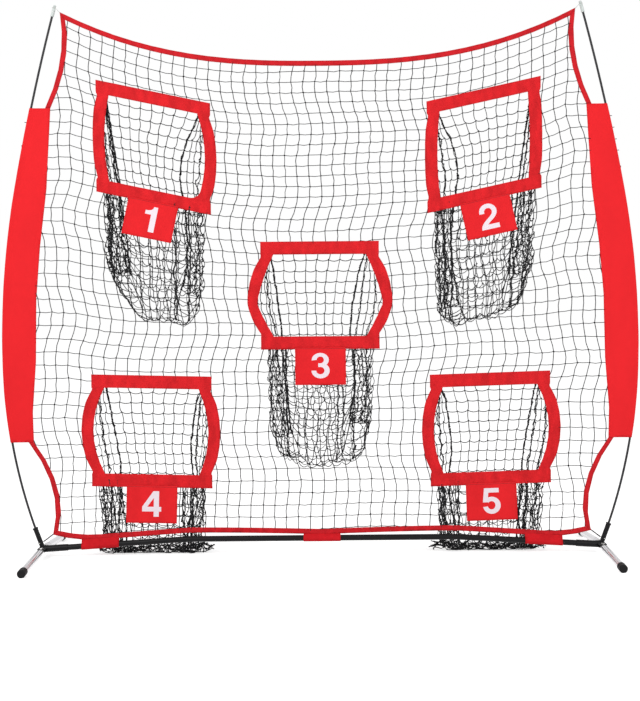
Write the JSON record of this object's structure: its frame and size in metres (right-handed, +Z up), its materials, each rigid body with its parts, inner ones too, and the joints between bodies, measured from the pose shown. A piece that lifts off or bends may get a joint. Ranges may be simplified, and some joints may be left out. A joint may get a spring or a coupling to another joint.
{
  "type": "pitching target net",
  "caption": "Free-standing bow-frame practice net with hanging ball-catch pockets and number flaps, on a low folding base.",
  "frame": {"origin": "on the ground, at the middle of the base, in the plane of the net", "axes": "+X along the bottom bar to the thrower's right, +Y away from the thrower, +Z up"},
  "size_m": [2.4474, 0.6804, 2.1244],
  "materials": {
    "black_steel": "satin black powder coat",
    "chrome_steel": "bright plated steel tube",
    "zinc_steel": "zinc-plated",
    "black_plastic": "moulded, fine grain",
    "black_fibreglass": "smooth pultruded rod",
    "milky_plastic": "milky, half clear",
    "white_cord": "braided",
    "black_elastic": "braided sleeve on elastic",
    "red_fabric": "woven polyester",
    "red_hem_tape": "folded and stitched tape",
    "black_netting": "knotted polyester mesh"
  },
  "bodies": {
    "base_and_net": {"left_base_bracket": "black_steel", "right_base_bracket": "black_steel", "socket_liners": "black_plastic", "leg_pivot_bolts": "zinc_steel", "left_bar_tube": "black_steel", "centre_bar_tube": "black_steel", "right_bar_tube": "black_steel", "left_lower_pole": "black_fibreglass", "left_middle_pole": "black_fibreglass", "left_upper_pole": "black_fibreglass", "right_lower_pole": "black_fibreglass", "right_middle_pole": "black_fibreglass", "right_upper_pole": "black_fibreglass", "pole_ferrules": "zinc_steel", "left_tip_cap": "milky_plastic", "right_tip_cap": "milky_plastic", "left_corner_cord": "white_cord", "right_corner_cord": "white_cord", "left_bungee": "black_elastic", "right_bungee": "black_elastic", "left_bungee_hook": "zinc_steel", "right_bungee_hook": "zinc_steel", "left_pole_sleeve": "red_fabric", "right_pole_sleeve": "red_fabric", "main_net": "black_netting", "top_hem": "red_hem_tape", "bottom_hem": "red_hem_tape", "left_hems": "red_hem_tape", "right_hems": "red_hem_tape", "pocket_1_frame": "red_fabric", "pocket_2_frame": "red_fabric", "pocket_3_frame": "red_fabric", "pocket_4_frame": "red_fabric", "pocket_5_frame": "red_fabric", "pocket_1_net": "black_netting", "pocket_2_net": "black_netting", "pocket_3_net": "black_netting", "pocket_4_net": "black_netting", "pocket_5_net": "black_netting", "left_bar_wrap": "red_fabric", "centre_bar_wrap": "red_fabric", "right_bar_wrap": "red_fabric"},
    "front_left_leg": {"front_left_leg": "chrome_steel", "front_left_foot": "black_plastic"},
    "front_right_leg": {"front_right_leg": "chrome_steel", "front_right_foot": "black_plastic"},
    "rear_left_leg": {"rear_left_leg": "chrome_steel", "rear_left_foot": "black_plastic"},
    "rear_right_leg": {"rear_right_leg": "chrome_steel", "rear_right_foot": "black_plastic"},
    "left_stub_button": {"left_stub_button": "chrome_steel"},
    "right_stub_button": {"right_stub_button": "chrome_steel"},
    "left_joint_button": {"left_joint_button": "chrome_steel"},
    "right_joint_button": {"right_joint_button": "chrome_steel"},
    "number_flap_1": {"number_flap_1": "red_fabric"},
    "number_flap_2": {"number_flap_2": "red_fabric"},
    "number_flap_3": {"number_flap_3": "red_fabric"},
    "number_flap_4": {"number_flap_4": "red_fabric"},
    "number_flap_5": {"number_flap_5": "red_fabric"}
  },
  "joints": [
    {"name": "front_left_leg_fold", "type": "hinge", "parent": "base_and_net", "child": "front_left_leg", "pos_m": [-1.072, -0.032, 0.034], "axis": [0, 0, 1], "range_deg": [0, 90]},
    {"name": "front_right_leg_fold", "type": "hinge", "parent": "base_and_net", "child": "front_right_leg", "pos_m": [1.072, -0.032, 0.034], "axis": [0, 0, -1], "range_deg": [0, 90]},
    {"name": "rear_left_leg_fold", "type": "hinge", "parent": "base_and_net", "child": "rear_left_leg", "pos_m": [-1.072, 0.032, 0.034], "axis": [0, 0, -1], "range_deg": [0, 55]},
    {"name": "rear_right_leg_fold", "type": "hinge", "parent": "base_and_net", "child": "rear_right_leg", "pos_m": [1.072, 0.032, 0.034], "axis": [0, 0, 1], "range_deg": [0, 55]},
    {"name": "left_stub_button_press", "type": "slide", "parent": "base_and_net", "child": "left_stub_button", "axis": [0.0593, 0, -0.9982], "range_m": [0, 0.003], "stiffness_N_per_m": 900, "springref_m": -0.001},
    {"name": "right_stub_button_press", "type": "slide", "parent": "base_and_net", "child": "right_stub_button", "axis": [-0.0593, 0, -0.9982], "range_m": [0, 0.003], "stiffness_N_per_m": 900, "springref_m": -0.001},
    {"name": "left_joint_button_press", "type": "slide", "parent": "base_and_net", "child": "left_joint_button", "axis": [0, -1, 0], "range_m": [0, 0.003], "stiffness_N_per_m": 900, "springref_m": -0.001},
    {"name": "right_joint_button_press", "type": "slide", "parent": "base_and_net", "child": "right_joint_button", "axis": [0, -1, 0], "range_m": [0, 0.003], "stiffness_N_per_m": 900, "springref_m": -0.001},
    {"name": "number_flap_1_lift", "type": "hinge", "parent": "base_and_net", "child": "number_flap_1", "pos_m": [-0.636, -0.0035, 1.366], "axis": [-0.9777, 0, 0.2102], "range_deg": [0, 165]},
    {"name": "number_flap_2_lift", "type": "hinge", "parent": "base_and_net", "child": "number_flap_2", "pos_m": [0.636, -0.0035, 1.366], "axis": [-0.9777, 0, -0.2102], "range_deg": [0, 165]},
    {"name": "number_flap_3_lift", "type": "hinge", "parent": "base_and_net", "child": "number_flap_3", "pos_m": [0, -0.0035, 0.7995], "axis": [-1, 0, 0], "range_deg": [0, 165]},
    {"name": "number_flap_4_lift", "type": "hinge", "parent": "base_and_net", "child": "number_flap_4", "pos_m": [-0.651, -0.0035, 0.274], "axis": [-0.9996, 0, 0.027], "range_deg": [0, 165]},
    {"name": "number_flap_5_lift", "type": "hinge", "parent": "base_and_net", "child": "number_flap_5", "pos_m": [0.651, -0.0035, 0.274], "axis": [-0.9996, 0, -0.027], "range_deg": [0, 165]}
  ]
}
